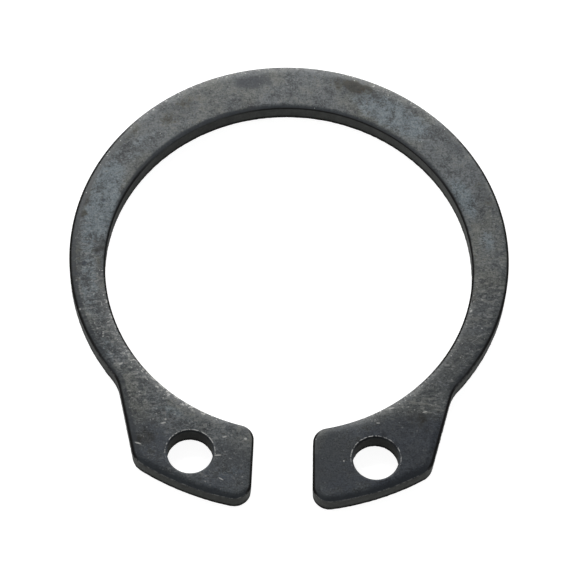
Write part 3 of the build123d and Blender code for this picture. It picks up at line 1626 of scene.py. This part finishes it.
    def marks(self, bench: Bench, grain: Grain, roll: Socket, handling: Socket) -> Socket:
        """What has broken through the coat of the faces.

        Args:
            bench: the material's nodes.
            grain: the shared noises.
            roll: how far down the rolled edge the place is, weighted by its painted shade.
            handling: how much handling the place shows.

        Returns:
            The specks, scratches, chips, nicks, wear and painted back highlight as one share.
        """
        wear_and_highlight = bench.attribute("wear_and_highlight")
        uncovered = bench.maths("MULTIPLY_ADD", roll, -self.roll_cover, 1.0)
        scratch_place = bench.stretched(grain.place, self.scratch_scale, self.scratch_turn)
        chips = bench.total(self.chip_noise.at(bench, grain.place), bench.product(wear_and_highlight, self.chip_wear))
        nicks = bench.total(*(nick.share(bench, grain.place) for nick in self.nicks))
        broken = bench.total(
            bench.product(self.speck_dots.at(bench, grain.place), uncovered, handling, self.speck_share),
            bench.product(self.scratch_dots.at(bench, scratch_place), handling, self.scratch_share),
            bench.product(bench.ramp(chips, self.chip_span), self.chip_share),
            bench.product(nicks, self.nick_share),
            bench.product(wear_and_highlight, self.wear_share),
        )
        on_face = bench.maths("SUBTRACT", 1.0, bench.attribute("flank"))
        return bench.maths("MINIMUM", bench.product(broken, on_face), 1.0)

    def rim(self, bench: Bench, grain: Grain, plan: StampedPlan) -> Socket:
        """A painted highlight: a thin bright line round each plier hole's rim, but for its front.

        Args:
            bench: the material's nodes.
            grain: the shared noises.
            plan: the ring's plan.

        Returns:
            The share of the painted highlight.
        """
        axes = bench.node("ShaderNodeSeparateXYZ", {0: grain.place}).outputs
        across = bench.maths("SUBTRACT", bench.maths("ABSOLUTE", axes["X"]), float(plan.hole_centre[0]))
        along = bench.maths("SUBTRACT", axes["Y"], float(plan.hole_centre[1]))
        reach = bench.maths("SQRT", bench.total(bench.product(across, across), bench.product(along, along)))
        off_line = bench.maths("ABSOLUTE", bench.maths("SUBTRACT", reach, plan.hole_radius + self.rim_gap))
        return bench.product(
            bench.ramp(off_line, (self.rim_width / 2, 0.0)),
            bench.ramp(bench.maths("DIVIDE", along, plan.hole_radius), self.rim_behind),
            bench.ramp(bench.maths("DIVIDE", axes["Z"], plan.thickness), self.rim_height),
            bench.ramp(grain.crystals, self.rim_span, self.rim_tones),
        )

    def build(self, plan: StampedPlan) -> bpy.types.Material:
        """The material.

        Args:
            plan: the ring's plan.

        Returns:
            A procedural material on object coordinates and the ring's attributes.
        """
        material = bpy.data.materials.new("phosphated_steel")
        material.use_nodes = True
        bench = Bench(material.node_tree)
        grain = self.grain(bench, bench.node("ShaderNodeTexCoord").outputs["Object"])
        names = ("roll", "crease", "flank", "painted_shade", "handling")
        roll, crease, flank, painted_shade, handling = (bench.attribute(name) for name in names)
        sheen = self.patch(bench, grain, Mottle.SHEEN)
        torn = self.wall_noise.at(bench, bench.stretched(grain.place, self.wall_scale))
        glint = bench.product(
            bench.ramp(crease, self.glint_rows),
            bench.ramp(grain.crystals, self.glint_span, self.glint_tones),
        )
        coat = self.patched(bench, grain, self.ground(bench, grain, sheen), handling)
        for share, colour in (
            # The roll's dark and the black are painted shade; the last colour is a painted highlight
            (bench.ramp(roll, self.roll_span, self.roll_tones), self.rolled),
            (flank, self.wall(bench, grain, torn)),
            (self.marks(bench, grain, roll, handling), self.pale),
            (painted_shade, self.black),
            (bench.maths("MAXIMUM", self.rim(bench, grain, plan), glint), self.painted_highlight),
        ):
            coat = bench.blend(share, coat, colour)

        fine = bench.product(grain.fine, self.fine_bump)
        height = bench.total(fine, grain.coarse, bench.product(torn, flank))
        relief = {"Strength": 1.0, "Distance": self.bump_height, "Height": height}
        least_rough = self.roughness - self.fine_roughness / 2
        rough = bench.maths("MULTIPLY_ADD", grain.fine, self.fine_roughness, least_rough)
        rough = bench.maths("SUBTRACT", rough, bench.product(sheen, self.sheen_polish))
        shader = bench.node(
            "ShaderNodeBsdfPrincipled",
            {
                "Base Color": coat,
                "Roughness": bench.ramp(painted_shade, UNIT_SPAN, (rough, 1.0)),
                "Metallic": bench.product(glint, self.glint_metal),
                "Specular IOR Level": 0.25,
                "Normal": bench.node("ShaderNodeBump", relief).outputs[0],
            },
        )
        bench.node("ShaderNodeOutputMaterial", {"Surface": shader.outputs[0]})
        return material


@dataclass(frozen=True)
class PaleFloor:
    """A white sweep that stays white to the camera and keeps the ring's shadow."""

    side: float = 3.0
    colour: Colour = (0.8, 0.8, 0.8)
    seen_glow: float = 0.9
    mirrored_glow: float = 0.22
    seen_colour: Colour = (0.4, 0.4, 0.4)
    height: float = -0.002 * MM

    def material(self) -> bpy.types.Material:
        """Plain for diffuse light, and white where the camera or a reflection looks at it."""
        material = bpy.data.materials.new("pale_floor")
        material.use_nodes = True
        bench = Bench(material.node_tree)
        path = bench.node("ShaderNodeLightPath").outputs
        mirrored = bench.maths("ADD", path["Is Glossy Ray"], path["Is Transmission Ray"], clamp=True)
        looked_at = bench.maths("ADD", path["Is Camera Ray"], mirrored, clamp=True)
        strength = bench.ramp(mirrored, UNIT_SPAN, (self.seen_glow, self.mirrored_glow))
        plain = bench.node("ShaderNodeBsdfDiffuse", {"Color": (*self.colour, 1.0)})
        shaded = bench.node("ShaderNodeBsdfDiffuse", {"Color": (*self.seen_colour, 1.0)})
        glow = bench.node("ShaderNodeEmission", {"Strength": strength})
        seen = bench.node("ShaderNodeAddShader", {0: shaded.outputs[0], 1: glow.outputs[0]})
        both = bench.node("ShaderNodeMixShader", {0: looked_at, 1: plain.outputs[0], 2: seen.outputs[0]})
        bench.node("ShaderNodeOutputMaterial", {"Surface": both.outputs[0]})
        return material

    def build(self) -> bpy.types.Object:
        """The floor, just under the ring's underside."""
        mesh = bpy.data.meshes.new("floor")
        half = self.side / 2
        signs = ((-1, -1), (1, -1), (1, 1), (-1, 1))
        mesh.from_pydata([(x * half, y * half, self.height) for x, y in signs], [], [(0, 1, 2, 3)])
        mesh.materials.append(self.material())
        obj = bpy.data.objects.new("floor", mesh)
        bpy.context.scene.collection.objects.link(obj)
        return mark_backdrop(obj)


# The studio


def direction(azimuth: float, elevation: float) -> Vector:
    """The direction of a place round the ring: azimuth 0 is in front and 180 behind, in degrees."""
    a, e = math.radians(azimuth), math.radians(elevation)
    return Vector((math.sin(a) * math.cos(e), -math.cos(a) * math.cos(e), math.sin(e)))


@dataclass(frozen=True)
class Softbox:
    """A soft lamp that faces the ring."""

    name: str
    azimuth: float
    elevation: float
    distance: float
    width: float
    height: float
    radiance: float
    aim: tuple[float, float, float] = (0.0, 0.0, 0.0)

    def build(self) -> bpy.types.Object:
        """The lamp, at the power that gives its radiance."""
        lamp = bpy.data.lights.new(self.name, "AREA")
        lamp.shape = "RECTANGLE"
        lamp.size, lamp.size_y = self.width, self.height
        lamp.energy = self.radiance * math.pi * self.width * self.height
        obj = bpy.data.objects.new(self.name, lamp)
        towards = direction(self.azimuth, self.elevation)
        obj.location = Vector(self.aim) + towards * self.distance
        obj.rotation_euler = towards.to_track_quat("Z", "Y").to_euler()
        obj.visible_camera = False
        bpy.context.scene.collection.objects.link(obj)
        return obj


@dataclass(frozen=True)
class ProductCamera:
    """The photograph's camera: a long lens that looks down on the ring from in front."""

    elevation: float = 61.712
    turn: float = 0.735
    roll: float = -2.643
    distance: float = 211.27 * MM
    focal_length: float = 261.46
    sensor: float = 36.0
    nearest: float = 0.01
    farthest: float = 10.0
    aim: tuple[float, float] = (0.0028 * MM, -0.724 * MM)

    def build(self) -> bpy.types.Object:
        """The camera, set as the scene's own.

        Returns:
            The camera object.
        """
        camera = bpy.data.cameras.new("camera")
        camera.lens, camera.sensor_width = self.focal_length, self.sensor
        camera.clip_start, camera.clip_end = self.nearest, self.farthest
        tilt, roll = math.radians(self.elevation), math.radians(self.roll)
        right = Vector((1.0, 0.0, 0.0))
        up = Vector((0.0, math.sin(tilt), math.cos(tilt)))
        back = Vector((0.0, -math.cos(tilt), math.sin(tilt)))
        axes = (
            right * math.cos(roll) - up * math.sin(roll),
            right * math.sin(roll) + up * math.cos(roll),
            back,
        )
        placed = Matrix.Identity(4)
        for column, axis in enumerate((*axes, Vector((*self.aim, 0.0)) + back * self.distance)):
            for row in range(3):
                placed[row][column] = axis[row]
        obj = bpy.data.objects.new("camera", camera)
        obj.matrix_world = Matrix.Rotation(math.radians(-self.turn), 4, "Z") @ placed
        bpy.context.scene.collection.objects.link(obj)
        bpy.context.scene.camera = obj
        return obj


@dataclass(frozen=True)
class Studio:
    """A white floor, a pale surround and soft light, most of it from high behind the ring."""

    ambient: float = 0.22
    ceiling: float = 0.1
    backdrop_end: Span = (0.3, 0.6)
    softboxes: tuple[Softbox, ...] = (
        Softbox("back_softbox", -168.0, 42.0, 0.09, 0.085, 0.03, 8.6),
        Softbox("back_strip", 180.0, 14.0, 0.12, 0.16, 0.03, 4.5),
        Softbox("left_softbox", -100.0, 35.0, 0.15, 0.1, 0.1, 1.3),
        Softbox("right_softbox", 100.0, 35.0, 0.15, 0.1, 0.1, 0.9),
        Softbox("front_softbox", 0.0, 25.0, 0.2, 0.12, 0.08, 0.8),
    )

    def surround(self) -> None:
        """The world: white where it is looked at, dimmer overhead, and plain soft light elsewhere."""
        world = bpy.data.worlds.new("surround")
        world.use_nodes = True
        bpy.context.scene.world = world
        bench = Bench(world.node_tree)
        path = bench.node("ShaderNodeLightPath").outputs
        towards = bench.node("ShaderNodeTexCoord").outputs["Generated"]
        rise = bench.node("ShaderNodeSeparateXYZ", {0: towards}).outputs["Z"]
        mirrored = bench.ramp(rise, self.backdrop_end, (1.0, self.ceiling))
        reflected = bench.maths("ADD", path["Is Glossy Ray"], path["Is Transmission Ray"], clamp=True)
        looked_at = bench.total(reflected, path["Is Camera Ray"])
        level = bench.total(
            path["Is Camera Ray"],
            bench.product(reflected, mirrored),
            bench.product(bench.maths("SUBTRACT", 1.0, looked_at, clamp=True), self.ambient),
        )
        background = bench.node("ShaderNodeBackground", {"Color": (1.0, 1.0, 1.0, 1.0), "Strength": level})
        bench.node("ShaderNodeOutputWorld", {"Surface": background.outputs[0]})

    def build(self) -> None:
        """The surround, the floor, the lamps and the camera."""
        scene = bpy.context.scene
        scene.view_settings.view_transform = "Standard"
        self.surround()
        PaleFloor().build()
        for softbox in self.softboxes:
            softbox.build()
        ProductCamera().build()
        log.info("studio: %d softboxes", len(self.softboxes))


def corners(box: tuple[Vector, Vector]) -> list[float]:
    """A box's two corners as six plain numbers."""
    return [*box[0], *box[1]]


def main() -> None:
    """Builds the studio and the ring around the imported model."""
    logging.basicConfig(level=logging.INFO, format="%(name)s: %(message)s")
    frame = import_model()
    Studio().build()
    plan = StampedPlan.from_frame(frame["record"])
    ring = RetainingRing(plan).build(PhosphatedSteel().build(plan))
    log.info("%s: %d triangles", ring.name, sum(len(face.vertices) - 2 for face in ring.data.polygons))


if __name__ == "__main__":
    main()
